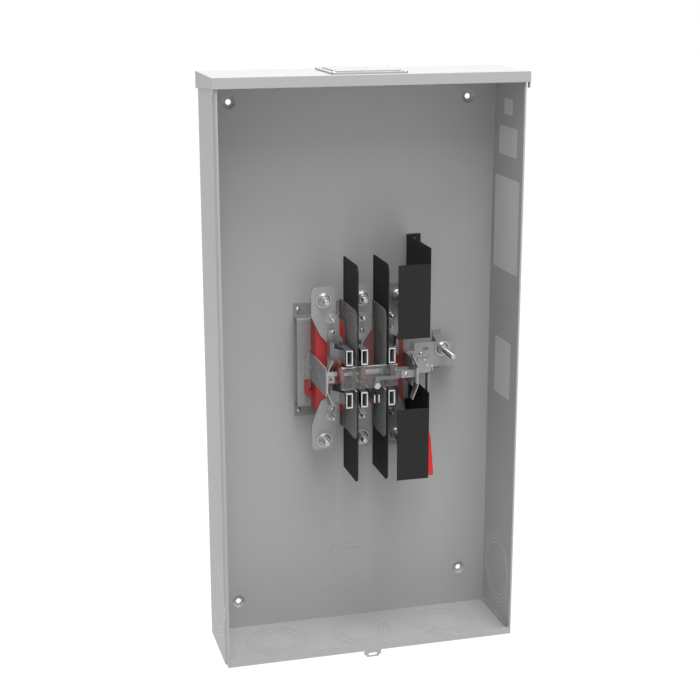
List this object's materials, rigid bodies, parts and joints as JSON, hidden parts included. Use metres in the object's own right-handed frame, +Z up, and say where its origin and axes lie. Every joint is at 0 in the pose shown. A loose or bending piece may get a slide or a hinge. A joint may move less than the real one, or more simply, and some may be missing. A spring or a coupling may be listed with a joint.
{
  "type": "meter socket enclosure",
  "caption": "Open wall enclosure for a plug-in electric meter, with rows of jaws, bus bars, terminal studs, barriers and a lever that closes bypass bridges.",
  "frame": {"origin": "on the wall plane, midway between the two upper wall mounting holes", "axes": "+X to the right seen from the front, +Y into the wall, +Z up"},
  "size_m": [0.489, 0.1461, 0.9431],
  "materials": {
    "enclosure_paint": "satin powder coat",
    "galvanised_steel": "galvanised",
    "zinc_steel": "zinc plated",
    "spring_steel": "plain spring steel",
    "tinned_bus": "tin plated",
    "tinned_jaw": "tin plated copper",
    "bridge_copper": "bare copper",
    "red_base": "moulded glass-filled polyester",
    "red_lever": "moulded nylon",
    "black_fibre": "pressed fibre sheet",
    "clear_sheet": "clear polycarbonate",
    "gasket_rubber": "foam rubber"
  },
  "bodies": {
    "enclosure": {"box_shell": "enclosure_paint", "bottom_end": "enclosure_paint", "top_hood": "enclosure_paint", "hub_plate": "enclosure_paint", "hub_gasket": "gasket_rubber", "hub_screws": "zinc_steel", "sealing_hasp": "enclosure_paint", "mounting_pan": "galvanised_steel", "panel_screws": "zinc_steel", "base_a": "red_base", "base_b": "red_base", "base_c": "red_base", "base_screws": "zinc_steel", "line_bus_a": "tinned_bus", "line_bus_b": "tinned_bus", "line_bus_c": "tinned_bus", "load_bus_a": "tinned_bus", "load_bus_b": "tinned_bus", "load_bus_c": "tinned_bus", "line_jaw_a": "tinned_jaw", "line_jaw_b": "tinned_jaw", "line_jaw_c": "tinned_jaw", "load_jaw_a": "tinned_jaw", "load_jaw_b": "tinned_jaw", "load_jaw_c": "tinned_jaw", "jaw_springs": "spring_steel", "jaw_rivets": "zinc_steel", "terminal_studs": "zinc_steel", "terminal_washers": "zinc_steel", "terminal_nuts": "zinc_steel", "bus_bolts": "zinc_steel", "bus_nuts": "zinc_steel", "neutral_bar": "tinned_bus", "neutral_jaw": "tinned_jaw", "neutral_stand": "galvanised_steel", "barrier_left": "black_fibre", "barrier_right": "black_fibre", "barrier_upper_fold": "black_fibre", "barrier_lower_fold": "black_fibre", "wing_left": "clear_sheet", "wing_right": "clear_sheet", "center_shield": "clear_sheet", "shield_strap": "galvanised_steel", "shield_bolt": "zinc_steel", "support_bracket_left": "galvanised_steel", "support_bracket_right": "galvanised_steel", "support_spring_left": "spring_steel", "support_spring_right": "spring_steel", "support_screws": "zinc_steel", "bridge_springs": "spring_steel"},
    "bypass_shaft": {"cross_shaft": "zinc_steel", "cam_a": "red_base", "cam_b": "red_base", "cam_c": "red_base", "bypass_lever": "galvanised_steel", "lever_grip": "red_lever", "shaft_clips": "spring_steel"},
    "bridge_a_body": {"bridge_a": "bridge_copper"},
    "bridge_b_body": {"bridge_b": "bridge_copper"},
    "bridge_c_body": {"bridge_c": "bridge_copper"}
  },
  "joints": [
    {"name": "bypass_turn", "type": "hinge", "parent": "enclosure", "child": "bypass_shaft", "pos_m": [0, -0.0892, -0.4217], "axis": [-1, 0, 0], "range_deg": [0, 150]},
    {"name": "bridge_a_push", "type": "slide", "parent": "enclosure", "child": "bridge_a_body", "axis": [0, 1, 0], "range_m": [0, 0.007], "deforming": ["bridge_springs"]},
    {"name": "bridge_b_push", "type": "slide", "parent": "enclosure", "child": "bridge_b_body", "axis": [0, 1, 0], "range_m": [0, 0.007], "deforming": ["bridge_springs"]},
    {"name": "bridge_c_push", "type": "slide", "parent": "enclosure", "child": "bridge_c_body", "axis": [0, 1, 0], "range_m": [0, 0.007], "deforming": ["bridge_springs"]}
  ],
  "couplings": [
    {"joint": "bridge_a_push", "follows": "bypass_turn", "m_per_rad": 0.0026737},
    {"joint": "bridge_b_push", "follows": "bypass_turn", "m_per_rad": 0.0026737},
    {"joint": "bridge_c_push", "follows": "bypass_turn", "m_per_rad": 0.0026737}
  ]
}
